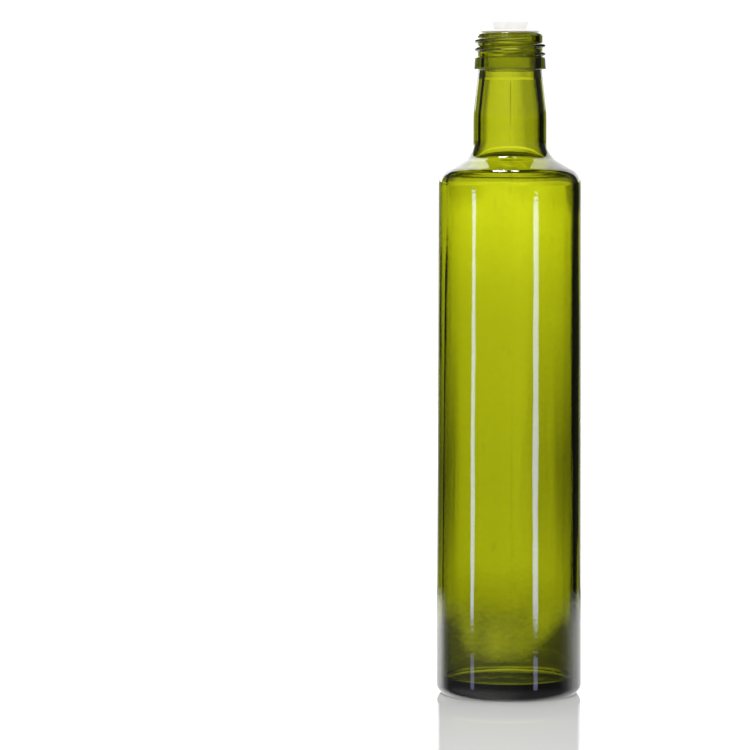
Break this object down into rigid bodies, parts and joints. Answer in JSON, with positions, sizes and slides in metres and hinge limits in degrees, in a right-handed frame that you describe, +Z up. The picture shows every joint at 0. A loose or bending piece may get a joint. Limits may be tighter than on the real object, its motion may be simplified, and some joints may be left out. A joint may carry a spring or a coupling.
{
  "type": "glass olive oil bottle",
  "caption": "Tall round oil bottle of yellow-green glass with a sloped shoulder, tapering screw neck and white plastic pouring insert.",
  "frame": {"origin": "centre of the ring that the bottle stands on, at floor height", "axes": "+Z up along the bottle's axis; -Y is the side that the picture shows"},
  "size_m": [0.0628, 0.0628, 0.2891],
  "materials": {
    "green_glass": "clear polished yellow-green glass",
    "white_plastic": "satin natural white plastic"
  },
  "bodies": {
    "root": {"bottle": "green_glass", "pourer": "white_plastic"}
  },
  "joints": []
}
